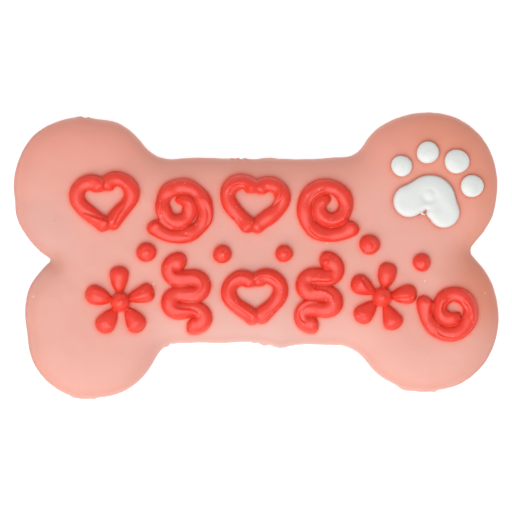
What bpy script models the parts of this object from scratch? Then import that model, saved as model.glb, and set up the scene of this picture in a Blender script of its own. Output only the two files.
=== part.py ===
"""A bone-shaped dog biscuit, dipped in a pink coating and decorated with piped icing.

It lies face up on its flat underside. +X runs along the bone, +Y across it towards the paw print's
side, and +Z is up. The origin is the middle of the underside. Lengths are metres, written as
millimetres times MM.
"""

import math

import bmesh
import bpy
import numpy as np

MM = 0.001

# The bone's outline, seen from above at its widest level: convex rounds, taken anticlockwise,
# and the hollow fillet between each round and the next. The two long sides of the shank are
# rounds too, so large that they are all but straight.
SIDE_BOW = 1000 * MM
UPPER_SIDE_Y = 30.3 * MM
LOWER_SIDE_Y = -27.4 * MM
OUTLINE_ROUNDS = (
    ((-53.6 * MM, 20.9 * MM), 22.8 * MM),  # upper left knuckle
    ((-50.9 * MM, -22.2 * MM), 22.5 * MM),  # lower left knuckle
    ((0.0, LOWER_SIDE_Y + SIDE_BOW), SIDE_BOW),
    ((53.4 * MM, -19.8 * MM), 23.0 * MM),  # lower right knuckle
    ((53.3 * MM, 22.1 * MM), 22.7 * MM),  # upper right knuckle
    ((0.0, UPPER_SIDE_Y - SIDE_BOW), SIDE_BOW),
)
OUTLINE_FILLETS = (2.6 * MM, 8.0 * MM, 17.0 * MM, 3.4 * MM, 10.0 * MM, 11.5 * MM)
OUTLINE_STEP = 3.4 * MM
FINE_STEP = 0.6 * MM

# Where the hand-cut outline runs fuller (+) or flatter (-) than its rounds: the middle of the
# stretch, how far out it goes and how wide it is.
OUTLINE_SWELLS = (
    ((-63.5 * MM, -1.3 * MM), 2.0 * MM, 10.0 * MM),  # left notch
    ((-74.5 * MM, 11.5 * MM), 0.5 * MM, 4.0 * MM),
    ((-70.0 * MM, 36.5 * MM), 0.4 * MM, 7.0 * MM),
    ((-51.5 * MM, 44.0 * MM), -0.9 * MM, 5.5 * MM),
    ((-73.3 * MM, -24.5 * MM), -1.2 * MM, 7.0 * MM),
    ((-60.5 * MM, -42.5 * MM), 0.5 * MM, 7.5 * MM),
    ((-31.5 * MM, -33.5 * MM), -0.6 * MM, 5.5 * MM),
    ((-22.5 * MM, -27.0 * MM), 0.7 * MM, 5.0 * MM),
    ((22.5 * MM, -27.0 * MM), 0.8 * MM, 4.5 * MM),
    ((65.5 * MM, 1.6 * MM), 1.9 * MM, 9.0 * MM),  # right notch
    ((73.5 * MM, 12.0 * MM), 0.5 * MM, 4.5 * MM),
    ((68.0 * MM, 39.5 * MM), 0.4 * MM, 10.0 * MM),
    ((37.0 * MM, 38.0 * MM), 0.4 * MM, 6.0 * MM),
    ((25.5 * MM, 30.2 * MM), 0.5 * MM, 4.0 * MM),
    ((68.0 * MM, -37.5 * MM), 0.4 * MM, 8.0 * MM),
)

# The coating pooled round the foot and set there in a few low lumps, written the same way.
FOOT_LUMPS = (
    ((7.8 * MM, -27.5 * MM), 1.6 * MM, 5.2 * MM),
    ((-54.0 * MM, -44.5 * MM), 0.5 * MM, 5.0 * MM),
    ((46.8 * MM, -41.6 * MM), 0.6 * MM, 3.0 * MM),
)

# The section from the flat underside out round the foot and up to the belly, as the inset from
# the outline and the height. Above the belly the crown follows a formula.
THICKNESS = 12.0 * MM
BELLY_HEIGHT = 5.0 * MM
FOOT_SECTION = (
    (2.0 * MM, 0.0),
    (0.75 * MM, 0.35 * MM),
    (0.15 * MM, 1.2 * MM),
    (0.45 * MM, 2.7 * MM),
    (0.0, BELLY_HEIGHT),
)
FOOT_TOP = 3.5 * MM
CROWN_REACH = 17.0 * MM
CROWN_SLOPE = 2.5
CROWN_SHOULDER = 3.0
CROWN_INSETS = (0.12, 0.5, 1.1, 2.1, 3.7, 6.2, 9.5, 13.0, 17.0)

# Piped icing: a rope with a flat foot. It rests on the coating with a hair's gap.
SEAT_GAP = 0.3 * MM
ROPE_WIDTH = 5.2 * MM
ROPE_HEIGHT_RATIO = 0.62
ROPE_FOOT = 0.42
ROPE_SIDES = 7
STROKE_STEP = 2.0 * MM
END_BLOB = 0.16
END_BLOB_REACH = 3.2 * MM

SWIRL_WIDTH = 4.3 * MM
SWIRL_PITCH = 4.8 * MM
SWIRL_BLOB = 0.04
RIBBON_WIDTH = 4.9 * MM
RIBBON_BLOB = 0.06
RIBBON_WAVES = 2.05
RIBBON_SWING = math.radians(98)
PETALS = 5
PETAL_WIDTH = 6.8 * MM
EYE_WIDTH = 6.2 * MM
EYE_HEIGHT = 4.2 * MM
DOT_HEIGHT = 3.4 * MM
HEART_CROSSING = -0.02
DOME_CUT = 0.35

# Two rows of piped ornaments: where each one's middle is, how far it is turned and its size
HEARTS = (
    ((-47.2 * MM, 15.6 * MM), 7, 17.2 * MM),
    ((-0.6 * MM, 14.9 * MM), -5, 17.4 * MM),
    ((-0.2 * MM, -14.2 * MM), 4, 16.4 * MM),
)
SWIRLS = (
    ((-23.8 * MM, 15.0 * MM), 205, 24.2 * MM, 1),
    ((22.8 * MM, 15.2 * MM), -30, 23.6 * MM, -1),
    ((61.4 * MM, -17.2 * MM), 150, 22.0 * MM, 1),
)
BLOSSOMS = (
    ((-42.6 * MM, -14.6 * MM), 92, 22.6 * MM),
    ((39.6 * MM, -13.0 * MM), 78, 22.0 * MM),
)
RIBBONS = (
    ((-21.8 * MM, -12.2 * MM), 3, 25.6 * MM, 1),
    ((19.8 * MM, -11.8 * MM), -4, 25.2 * MM, -1),
)
DOTS = (
    ((-34.4 * MM, 1.0 * MM), 6.2 * MM),
    ((-10.6 * MM, 0.4 * MM), 5.8 * MM),
    ((8.8 * MM, 0.6 * MM), 5.4 * MM),
    ((35.6 * MM, 3.4 * MM), 6.4 * MM),
    ((52.0 * MM, -2.2 * MM), 5.6 * MM),
)

# The paw print, on the upper right knuckle
PAD_PLACE = (53.7 * MM, 17.7 * MM)
PAD_ROUNDS = (
    ((-5.6 * MM, -0.6 * MM), 5.1 * MM),
    ((5.3 * MM, -4.1 * MM), 4.95 * MM),
    ((0.9 * MM, -0.5 * MM), 8.1 * MM),
)
PAD_FILLETS = (0.9 * MM, 30.0 * MM, 14.0 * MM)
PAD_STEP = 1.1 * MM
PAD_SECTION = (
    (0.35 * MM, 0.0),
    (0.0, 0.5 * MM),
    (0.1 * MM, 1.1 * MM),
    (0.65 * MM, 1.75 * MM),
    (1.7 * MM, 2.15 * MM),
    (3.0 * MM, 2.25 * MM),
)
TOES = (
    ((45.7 * MM, 28.1 * MM), 6.6 * MM),
    ((53.9 * MM, 32.3 * MM), 7.0 * MM),
    ((63.0 * MM, 29.5 * MM), 7.7 * MM),
    ((67.8 * MM, 21.8 * MM), 7.1 * MM),
)
TOE_HEIGHT = 2.3 * MM

COATING_PINK = (0.80, 0.42, 0.34)
ICING_RED = (0.87, 0.09, 0.07)
ICING_WHITE = (0.80, 0.81, 0.78)


def fillet_centre(first, second, radius):
    """The middle of a hollow fillet that touches two rounds on the outline's outer side."""
    (centre, reach), (other, other_reach) = first, second
    centre, other = np.array(centre), np.array(other)
    span = np.linalg.norm(other - centre)
    along = (other - centre) / span
    outward = np.array((along[1], -along[0]))
    near, far = reach + radius, other_reach + radius
    foot = (near**2 - far**2 + span**2) / (2 * span)
    return centre + along * foot + outward * math.sqrt(near**2 - foot**2)


def arc(centre, radius, start, end, step, hollow):
    """Points along an arc, without its last, and their outward normals."""
    sweep = (start - end) % math.tau if hollow else (end - start) % math.tau
    count = max(3, round(sweep * radius / step))
    turn = start + (-sweep if hollow else sweep) * np.arange(count) / count
    radial = np.stack((np.cos(turn), np.sin(turn)), axis=1)
    return centre + radius * radial, -radial if hollow else radial


def rounded_outline(rounds, fillets, step):
    """Points and outward normals of convex rounds joined by hollow fillets, anticlockwise."""
    count = len(rounds)
    hollows = [
        fillet_centre(rounds[i], rounds[(i + 1) % count], fillets[i]) for i in range(count)
    ]
    points, normals = [], []
    for i, (centre, radius) in enumerate(rounds):
        centre = np.array(centre)
        following = np.array(rounds[(i + 1) % count][0])
        start, end = hollows[i - 1] - centre, hollows[i] - centre
        p, n = arc(centre, radius, math.atan2(*start[::-1]), math.atan2(*end[::-1]), step, False)
        points.append(p)
        normals.append(n)
        start, end = centre - hollows[i], following - hollows[i]
        p, n = arc(
            hollows[i], fillets[i], math.atan2(*start[::-1]), math.atan2(*end[::-1]), step, True
        )
        points.append(p)
        normals.append(n)
    return np.concatenate(points), np.concatenate(normals)


def swelling(points, swells):
    """How far a list of swells pushes each point of the outline out: a sum of round bumps."""
    out = np.zeros(len(points))
    for centre, height, width in swells:
        out += height * np.exp(-(((points - centre) / width) ** 2).sum(axis=1))
    return out


def bone_outline(step):
    """The bone's points, normals and foot spread, hand-cut uneven and centred on the origin."""
    points, normals = rounded_outline(OUTLINE_ROUNDS, OUTLINE_FILLETS, step)
    points = points + normals * swelling(points, OUTLINE_SWELLS)[:, None]
    spread = swelling(points, FOOT_LUMPS)
    reach = points + normals * spread[:, None]
    return points - (reach.min(axis=0) + reach.max(axis=0)) / 2, normals, spread


def crown_height(inset):
    """The top's height at an inset from the outline: a tight shoulder, then a slow crown."""
    share = 1 - np.clip(inset / CROWN_REACH, 0, 1)
    rise = (1 - share**CROWN_SLOPE) ** (1 / CROWN_SHOULDER)
    return BELLY_HEIGHT + (THICKNESS - BELLY_HEIGHT) * rise


EDGE = bone_outline(FINE_STEP)[0]


def coating_height(points):
    """The top's height above each point of the plan, from its distance to the outline."""
    gaps = np.linalg.norm(points[:, None, :2] - EDGE[None], axis=2)
    return crown_height(gaps.min(axis=1))


def loft(name, rings, material):
    """A closed solid skinned over rings of points, with a flat face at either end."""
    mesh = bmesh.new()
    rows = [[mesh.verts.new(point) for point in ring] for ring in rings]
    count = len(rings[0])
    for lower, upper in zip(rows, rows[1:]):
        for i in range(count):
            j = (i + 1) % count
            mesh.faces.new((lower[i], lower[j], upper[j], upper[i]))
    mesh.faces.new(rows[0][::-1])
    mesh.faces.new(rows[-1])
    bmesh.ops.recalc_face_normals(mesh, faces=mesh.faces)
    return finish_mesh(name, mesh, material)


def finish_mesh(name, mesh, material):
    """An object made from a bmesh, shaded smooth except across its sharp corners."""
    data = bpy.data.meshes.new(name)
    mesh.to_mesh(data)
    mesh.free()
    data.shade_smooth()
    data.set_sharp_from_angle(angle=math.radians(50))
    data.materials.append(material)
    obj = bpy.data.objects.new(name, data)
    parts.objects.link(obj)
    return obj


def make_material(name, colour, roughness):
    """A plain food surface: colour and roughness on a Principled shader."""
    material = bpy.data.materials.new(name)
    material.use_nodes = True
    shader = material.node_tree.nodes["Principled BSDF"]
    shader.inputs["Base Color"].default_value = (*colour, 1.0)
    shader.inputs["Roughness"].default_value = roughness
    shader.inputs["Metallic"].default_value = 0.0
    material.diffuse_color = (*colour, 1.0)
    return material


def settle(piece, centre, turn=0.0):
    """Puts a piece made about its own middle in its place, bent to lie on the crowned coating."""
    places = np.array([vertex.co for vertex in piece.data.vertices])
    c, s = math.cos(turn), math.sin(turn)
    plan = places[:, :2] @ np.array(((c, s), (-s, c))) + centre
    seat = float(coating_height(np.array((centre,)))[0])
    places[:, 2] += coating_height(plan) - seat
    piece.data.vertices.foreach_set("co", places.ravel())
    piece.data.update()
    piece.location = (*centre, seat + SEAT_GAP)
    piece.rotation_euler.z = turn
    return piece


def fused(name, pieces):
    """One solid: the first piece with the others joined on by a Boolean union."""
    whole, *others = pieces
    whole.name = name
    joined = bpy.data.collections.new(name + "_joined")
    bpy.context.scene.collection.children.link(joined)
    for piece in others:
        parts.objects.unlink(piece)
        joined.objects.link(piece)
    union = whole.modifiers.new("Join", "BOOLEAN")
    union.operation = "UNION"
    union.operand_type = "COLLECTION"
    union.collection = joined
    union.solver = "EXACT"
    bpy.context.view_layer.objects.active = whole
    bpy.ops.object.modifier_apply(modifier=union.name)
    for piece in others:
        bpy.data.objects.remove(piece)
    bpy.data.collections.remove(joined)
    return whole


def rope_section():
    """Half-round rope, one unit wide and high, as (across, up) points from foot to foot."""
    turn = np.linspace(0, math.pi, ROPE_SIDES - 2)
    across = np.concatenate(((ROPE_FOOT,), 0.5 * np.cos(turn), (-ROPE_FOOT,)))
    up = np.concatenate(((0.0,), 0.28 + 0.72 * np.sin(turn), (0.0,)))
    return across, up


def stroke(name, path, material, width=ROPE_WIDTH, blob=END_BLOB, swell=None, crest=None):
    """A squeeze of icing along a path, with round ends that are a blob wider than the rest.

    swell and crest scale the width and the height, as functions of the share of the length.
    """
    steps = np.linalg.norm(np.diff(path, axis=0), axis=1)
    walked = np.concatenate(((0,), np.cumsum(steps)))
    length = walked[-1]
    radius = width / 2
    end = radius * np.array((0.03, 0.3, 0.75))
    body = np.linspace(1.25 * radius, length - 1.25 * radius, max(2, round(length / STROKE_STEP)))
    stations = np.concatenate((end, body, length - end[::-1]))
    centre = np.stack([np.interp(stations, walked, path[:, i]) for i in range(2)], axis=1)
    ahead = np.stack([np.interp(stations + 0.2 * MM, walked, path[:, i]) for i in range(2)], axis=1)
    behind = np.stack(
        [np.interp(stations - 0.2 * MM, walked, path[:, i]) for i in range(2)], axis=1
    )
    along = ahead - behind
    along /= np.linalg.norm(along, axis=1)[:, None]
    side = np.stack((-along[:, 1], along[:, 0]), axis=1)
    to_end = np.minimum(stations, length - stations)
    rounding = np.sqrt(1 - (1 - np.minimum(to_end / radius, 1)) ** 2)
    widths = width * rounding * (1 + blob * np.exp(-((to_end / END_BLOB_REACH) ** 2)))
    share = stations / length
    heights = widths * ROPE_HEIGHT_RATIO * (crest(share) if crest else 1)
    widths = widths * (swell(share) if swell else 1)
    across, up = rope_section()
    rings = [
        np.column_stack((c + s * (w * across)[:, None], h * up))
        for c, s, w, h in zip(centre, side, widths, heights)
    ]
    return loft(name, rings, material)


def dome(name, width, height, material, lean=0.0):
    """A dab of icing: a sphere flattened to a dome with a flat foot, its peak drawn to one side."""
    mesh = bmesh.new()
    bmesh.ops.create_uvsphere(mesh, u_segments=16, v_segments=9, radius=1.0)
    for vertex in mesh.verts:
        x, y, z = vertex.co
        up = (max(z, -DOME_CUT) + DOME_CUT) / (1 + DOME_CUT)
        vertex.co = (width / 2 * (x + lean * up**2), width / 2 * y, height * up)
    foot = [face for face in mesh.faces if all(v.co.z < 0.001 * MM for v in face.verts)]
    bmesh.ops.dissolve_faces(mesh, faces=foot)
    return finish_mesh(name, mesh, material)


def heart(name, size):
    """An outlined heart piped in two strokes, each from the dip round one lobe to the point.

    A lobe follows x = sin^3 t, y = 13 cos t - 5 cos 2t - 2 cos 3t - cos 4t. From its lower flank
    the stroke runs straight on to the point, where the two cross.
    """
    t = np.linspace(0.24, 2.45, 50)
    x = 0.5 * np.sin(t) ** 3
    y = (13 * np.cos(t) - 5 * np.cos(2 * t) - 2 * np.cos(3 * t) - np.cos(4 * t) + 2.5) / 32
    slope = (y[-1] - y[-2]) / (x[-1] - x[-2])
    flank = np.linspace(x[-1], HEART_CROSSING, 9)[1:]
    x, y = np.append(x, flank), np.append(y, y[-1] + slope * (flank - x[-1]))
    halves = [
        stroke(f"{name}_{side}", np.stack((side * x, y), axis=1) * size, red, crest=crest)
        for side, crest in ((1, None), (-1, crossing_crest))
    ]
    return fused(name, halves)


def crossing_crest(share):
    """Height along a stroke that rides over the one before it at both of its ends."""
    return 1 + 0.12 * np.cos(math.tau * share)


def swirl(name, size, hand):
    """A snail of icing: an Archimedean spiral that ends in a blob at its middle."""
    outer, inner = (size - SWIRL_WIDTH) / 2, SWIRL_PITCH * 0.3
    share = np.linspace(0, 1, 200)
    radius = outer + (inner - outer) * share
    angle = share * math.tau * (outer - inner) / SWIRL_PITCH
    path = np.stack((radius * np.cos(angle), hand * radius * np.sin(angle)), axis=1)
    return stroke(name, path, red, SWIRL_WIDTH, SWIRL_BLOB, crest=lambda share: 1 + 0.15 * share**2)


def ribbon(name, size, hand):
    """A meander like ribbon candy: its heading swings as a cosine of the length run."""
    run = np.linspace(-0.5, 0.5, 300) * RIBBON_WAVES * math.tau
    heading = RIBBON_SWING * np.cos(run)
    path = np.cumsum(np.stack((hand * np.sin(heading), np.cos(heading)), axis=1), axis=0)
    path -= (path.min(axis=0) + path.max(axis=0)) / 2
    path *= (size - RIBBON_WIDTH) / np.ptp(path[:, 1])
    return stroke(name, path, red, RIBBON_WIDTH, RIBBON_BLOB)


def blossom(name, size):
    """Five teardrop dabs drawn in to a middle one."""
    pieces = []
    for i in range(PETALS):
        angle = i * math.tau / PETALS
        heading = np.array((math.cos(angle), math.sin(angle)))
        path = np.linspace(0.5, 0.1, 12)[:, None] * size * heading
        pieces.append(
            stroke(
                f"{name}_{i}",
                path,
                red,
                PETAL_WIDTH,
                swell=lambda share: 1.1 - 0.62 * share,
                crest=lambda share: 0.9 - 0.3 * share,
            )
        )
    pieces.append(dome(f"{name}_eye", EYE_WIDTH, EYE_HEIGHT, red))
    return fused(name, pieces)


def paw_pad(name):
    """The print's pad: a fat horseshoe squeeze closed to one mass, notched at its heel."""
    points, normals = rounded_outline(PAD_ROUNDS, PAD_FILLETS, PAD_STEP)
    rings = [
        np.column_stack((points - normals * inset, np.full(len(points), height)))
        for inset, height in PAD_SECTION
    ]
    return loft(name, rings, white)


def biscuit():
    """The dipped biscuit: rings set in from the outline, skinned from underside to crown."""
    points, normals, spread = bone_outline(OUTLINE_STEP)
    crown = [(inset * MM, float(crown_height(inset * MM))) for inset in CROWN_INSETS]
    rings = []
    for inset, height in (*FOOT_SECTION, *crown):
        pooled = spread * max(0.0, 1 - height / FOOT_TOP)
        plan = points + normals * (pooled - inset)[:, None]
        rings.append(np.column_stack((plan, np.full(len(plan), height))))
    return loft("coated_biscuit", rings, pink)


for leftover in list(bpy.data.objects):
    bpy.data.objects.remove(leftover)

parts = bpy.data.collections.new("dog_biscuit")
bpy.context.scene.collection.children.link(parts)

pink = make_material("pink_coating", COATING_PINK, 0.42)
red = make_material("red_icing", ICING_RED, 0.36)
white = make_material("white_icing", ICING_WHITE, 0.30)

biscuit()

for number, (place, turn, size) in enumerate(HEARTS, 1):
    settle(heart(f"piped_heart_{number}", size), place, math.radians(turn))
for number, (place, turn, size, hand) in enumerate(SWIRLS, 1):
    settle(swirl(f"piped_swirl_{number}", size, hand), place, math.radians(turn))
for number, (place, turn, size) in enumerate(BLOSSOMS, 1):
    settle(blossom(f"piped_blossom_{number}", size), place, math.radians(turn))
for number, (place, turn, size, hand) in enumerate(RIBBONS, 1):
    settle(ribbon(f"piped_ribbon_{number}", size, hand), place, math.radians(turn))
for number, (place, size) in enumerate(DOTS, 1):
    settle(dome(f"piped_dot_{number}", size, DOT_HEIGHT, red), place)

settle(paw_pad("paw_pad"), PAD_PLACE)
for number, (place, size) in enumerate(TOES, 1):
    settle(dome(f"paw_toe_{number}", size, TOE_HEIGHT, white), place)
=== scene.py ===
"""The looks of a bone-shaped dog biscuit, dipped in pink coating and decorated with piped icing.

Every surface is worked out from the same rounds, rows and widths as the solids that it replaces.
Lengths are metres, written as millimetres times MM.
"""

import math

import bpy
import numpy as np
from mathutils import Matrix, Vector


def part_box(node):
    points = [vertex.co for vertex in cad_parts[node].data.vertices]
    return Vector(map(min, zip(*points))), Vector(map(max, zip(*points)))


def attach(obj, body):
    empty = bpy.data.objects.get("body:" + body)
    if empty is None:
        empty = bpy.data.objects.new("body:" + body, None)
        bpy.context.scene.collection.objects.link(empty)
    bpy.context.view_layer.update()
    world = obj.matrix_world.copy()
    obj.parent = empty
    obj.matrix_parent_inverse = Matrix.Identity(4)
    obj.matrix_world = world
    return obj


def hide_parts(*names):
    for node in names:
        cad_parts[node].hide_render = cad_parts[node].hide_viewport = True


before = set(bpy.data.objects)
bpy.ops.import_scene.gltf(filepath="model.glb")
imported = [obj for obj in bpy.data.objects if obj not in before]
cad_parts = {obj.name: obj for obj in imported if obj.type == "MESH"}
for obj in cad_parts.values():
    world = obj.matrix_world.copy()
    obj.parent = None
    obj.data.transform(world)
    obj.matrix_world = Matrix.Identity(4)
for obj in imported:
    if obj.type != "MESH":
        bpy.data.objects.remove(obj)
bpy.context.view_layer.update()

MM = 0.001


def colour(red, green, blue):
    """A colour in linear light, with full cover."""
    return (red, green, blue, 1.0)


# The bone's outline at its widest level: convex rounds, anticlockwise, and the hollow fillets
# between them, then the stretches where the hand-cut edge runs fuller or flatter. A swell, a
# lump or a nick has its middle, how far it pushes the edge out, and its reach.
SIDE_BOW = 1000 * MM
UPPER_SIDE_Y = 30.3 * MM
LOWER_SIDE_Y = -27.4 * MM
OUTLINE_ROUNDS = (
    ((-53.6 * MM, 20.9 * MM), 22.8 * MM),
    ((-50.9 * MM, -22.2 * MM), 22.5 * MM),
    ((0.0, LOWER_SIDE_Y + SIDE_BOW), SIDE_BOW),
    ((53.4 * MM, -19.8 * MM), 23.0 * MM),
    ((53.3 * MM, 22.1 * MM), 22.7 * MM),
    ((0.0, UPPER_SIDE_Y - SIDE_BOW), SIDE_BOW),
)
OUTLINE_FILLETS = (2.6 * MM, 8.0 * MM, 17.0 * MM, 3.4 * MM, 10.0 * MM, 11.5 * MM)
OUTLINE_SWELLS = (
    ((-63.5 * MM, -1.3 * MM), 2.0 * MM, 10.0 * MM),
    ((-74.5 * MM, 11.5 * MM), 0.5 * MM, 4.0 * MM),
    ((-70.0 * MM, 36.5 * MM), 0.4 * MM, 7.0 * MM),
    ((-51.5 * MM, 44.0 * MM), -0.9 * MM, 5.5 * MM),
    ((-73.3 * MM, -24.5 * MM), -1.2 * MM, 7.0 * MM),
    ((-60.5 * MM, -42.5 * MM), 0.5 * MM, 7.5 * MM),
    ((-31.5 * MM, -33.5 * MM), -0.6 * MM, 5.5 * MM),
    ((-22.5 * MM, -27.0 * MM), 0.7 * MM, 5.0 * MM),
    ((22.5 * MM, -27.0 * MM), 0.8 * MM, 4.5 * MM),
    ((65.5 * MM, 1.6 * MM), 1.9 * MM, 9.0 * MM),
    ((73.5 * MM, 12.0 * MM), 0.5 * MM, 4.5 * MM),
    ((68.0 * MM, 39.5 * MM), 0.4 * MM, 10.0 * MM),
    ((37.0 * MM, 38.0 * MM), 0.4 * MM, 6.0 * MM),
    ((25.5 * MM, 30.2 * MM), 0.5 * MM, 4.0 * MM),
    ((68.0 * MM, -37.5 * MM), 0.4 * MM, 8.0 * MM),
)

# Where the coating has pooled in a lump at the foot
FOOT_LUMPS = (
    ((7.8 * MM, -27.5 * MM), 0.6 * MM, 5.2 * MM),
    ((-54.0 * MM, -44.5 * MM), 0.5 * MM, 5.0 * MM),
    ((46.8 * MM, -41.6 * MM), 0.6 * MM, 3.0 * MM),
)

# Where the set coating stands fuller than the cut, or shorter, on the centred outline
COATING_SWELLS = (
    ((-70.0 * MM, 38.0 * MM), 0.25 * MM, 8.0 * MM),
    ((-53.5 * MM, 44.2 * MM), 0.45 * MM, 3.5 * MM),
    ((-42.0 * MM, 42.0 * MM), 0.30 * MM, 6.0 * MM),
    ((-19.0 * MM, 30.5 * MM), 0.50 * MM, 8.0 * MM),
    ((27.0 * MM, 31.0 * MM), 0.30 * MM, 7.0 * MM),
    ((38.0 * MM, 40.0 * MM), 0.20 * MM, 7.0 * MM),
    ((62.0 * MM, 43.5 * MM), 0.20 * MM, 6.0 * MM),
    ((71.5 * MM, 36.0 * MM), 0.15 * MM, 7.0 * MM),
    ((69.3 * MM, 4.6 * MM), -0.30 * MM, 2.2 * MM),
    ((69.3 * MM, -1.4 * MM), -0.30 * MM, 2.2 * MM),
    ((72.5 * MM, -9.0 * MM), 0.35 * MM, 5.0 * MM),
    ((72.0 * MM, -32.0 * MM), 0.20 * MM, 7.0 * MM),
    ((63.0 * MM, -40.5 * MM), 0.25 * MM, 4.0 * MM),
    ((54.5 * MM, -42.8 * MM), 0.35 * MM, 2.8 * MM),
    ((50.5 * MM, -42.6 * MM), 0.30 * MM, 2.8 * MM),
    ((46.9 * MM, -41.8 * MM), 0.65 * MM, 2.4 * MM),
    ((38.0 * MM, -36.5 * MM), 0.30 * MM, 6.0 * MM),
    ((26.0 * MM, -27.6 * MM), 0.20 * MM, 6.0 * MM),
    ((12.0 * MM, -27.2 * MM), 0.95 * MM, 9.5 * MM),
    ((7.2 * MM, -27.8 * MM), 1.05 * MM, 3.6 * MM),
    ((-12.0 * MM, -27.0 * MM), 0.50 * MM, 5.0 * MM),
    ((-44.0 * MM, -43.0 * MM), 0.30 * MM, 6.0 * MM),
    ((-55.0 * MM, -44.8 * MM), 0.75 * MM, 4.8 * MM),
    ((-66.0 * MM, -39.5 * MM), 0.30 * MM, 8.0 * MM),
    ((-71.0 * MM, -10.5 * MM), 0.70 * MM, 5.0 * MM),
    ((-73.0 * MM, -19.0 * MM), 0.15 * MM, 4.0 * MM),
    ((-72.5 * MM, 6.5 * MM), 0.50 * MM, 6.0 * MM),
    ((-76.3 * MM, 18.0 * MM), -0.25 * MM, 2.8 * MM),
)

# Small crumbs and nicks in the rim, written the same way
RIM_NICKS = (
    ((-56.2 * MM, 43.5 * MM), 0.18 * MM, 0.8 * MM),
    ((-55.1 * MM, 43.5 * MM), 0.20 * MM, 0.7 * MM),
    ((-53.8 * MM, 43.3 * MM), -0.35 * MM, 0.6 * MM),
    ((-52.9 * MM, 43.3 * MM), 0.25 * MM, 0.6 * MM),
    ((-7.6 * MM, 30.3 * MM), 0.20 * MM, 0.7 * MM),
    ((-5.6 * MM, 30.3 * MM), 0.30 * MM, 0.6 * MM),
    ((-4.6 * MM, 30.3 * MM), -0.30 * MM, 0.5 * MM),
    ((-3.6 * MM, 30.3 * MM), 0.30 * MM, 0.6 * MM),
    ((-0.9 * MM, 30.3 * MM), -0.30 * MM, 1.5 * MM),
    ((3.9 * MM, 30.3 * MM), 0.35 * MM, 2.4 * MM),
    ((12.5 * MM, 30.3 * MM), -0.15 * MM, 2.0 * MM),
    ((-0.4 * MM, -27.4 * MM), 0.25 * MM, 0.7 * MM),
    ((2.4 * MM, -27.6 * MM), 0.70 * MM, 1.4 * MM),
    ((4.4 * MM, -28.4 * MM), -0.12 * MM, 0.6 * MM),
    ((5.9 * MM, -28.8 * MM), 0.20 * MM, 0.6 * MM),
    ((7.3 * MM, -29.0 * MM), 0.20 * MM, 0.6 * MM),
    ((9.4 * MM, -29.0 * MM), 0.35 * MM, 0.6 * MM),
    ((10.6 * MM, -28.8 * MM), -0.25 * MM, 0.6 * MM),
    ((11.6 * MM, -28.6 * MM), 0.20 * MM, 0.6 * MM),
    ((-71.6 * MM, 9.6 * MM), 0.15 * MM, 1.0 * MM),
    ((-25.8 * MM, -27.9 * MM), 0.15 * MM, 0.8 * MM),
    ((-26.8 * MM, -27.9 * MM), -0.25 * MM, 0.5 * MM),
    ((-27.9 * MM, -28.6 * MM), 0.40 * MM, 0.6 * MM),
    ((56.3 * MM, -43.0 * MM), 0.35 * MM, 0.8 * MM),
    ((57.5 * MM, -42.6 * MM), -0.25 * MM, 0.7 * MM),
    ((-51.0 * MM, -45.2 * MM), 0.25 * MM, 0.7 * MM),
    ((-49.6 * MM, -45.0 * MM), -0.20 * MM, 0.7 * MM),
    ((-57.7 * MM, -44.6 * MM), 0.20 * MM, 0.8 * MM),
)
EDGE_STEP = 0.1 * MM

# How much longer and wider than its solid the coating may grow, through its swells and nicks
COATING_ROOM = 1.008

# The coating's section
THICKNESS = 12.0 * MM
BELLY_HEIGHT = 5.0 * MM
FOOT_TOP = 3.5 * MM
CROWN_REACH = 17.0 * MM
CROWN_SLOPE = 2.5
CROWN_SHOULDER = 3.0
FOOT_INSET = 2.0 * MM
SHOULDER_INSET = 4.0 * MM
SHOULDER_EASE = 2.2

# Insets and heights up the side: the foot's quarter round, then the waist up to the belly
SIDE_SECTION = MM * np.array((
    (1.30, 0.06), (0.75, 0.30), (0.35, 0.75), (0.15, 1.20), (0.22, 1.70), (0.38, 2.30),
    (0.43, 2.90), (0.33, 3.50), (0.14, 4.20), (0.02, 4.70),
))

# The set coating's unevenness: how high and how long its waves are, and what they start from.
# Swells and dimples cross the top, it sags in at the foot, and it wavers up the side.
TOP_RIPPLES = ((0.10 * MM, 24 * MM, 3), (0.018 * MM, 6 * MM, 8))
SAG_DEPTH, SAG_LENGTH, SAG_SEED = 0.09 * MM, 7 * MM, 21
SAG_HEIGHT, SAG_REACH = 1.5 * MM, 2 * MM
WAVER_DEPTH, WAVER_LENGTH, WAVER_SEED = 0.025 * MM, 3.2 * MM, 33
WAVER_FADE = (6 * MM, 10 * MM)
RIPPLE_FADE = (0.5 * MM, 8 * MM)
NICK_REACH = 1.5 * MM

# A shallow dent by the rim of the upper left knuckle
DENT_PLACE = (-55.6 * MM, 41.2 * MM)
DENT_REACH = (2.6 * MM, 0.8 * MM)
DENT_DEPTH = 0.25 * MM

# The grid on the coating: a spine along the bone's middle, and how finely it is divided
SPINE_REACH = 42.0 * MM
SPINE_POINTS = 190
KNUCKLE_POINTS = 330
CROWDING = 2.5
CROWDING_REACH = 1.6 * MM
UNDERSIDE_RINGS = 8
SHOULDER_RINGS = 17
TOP_RINGS = 56

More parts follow.
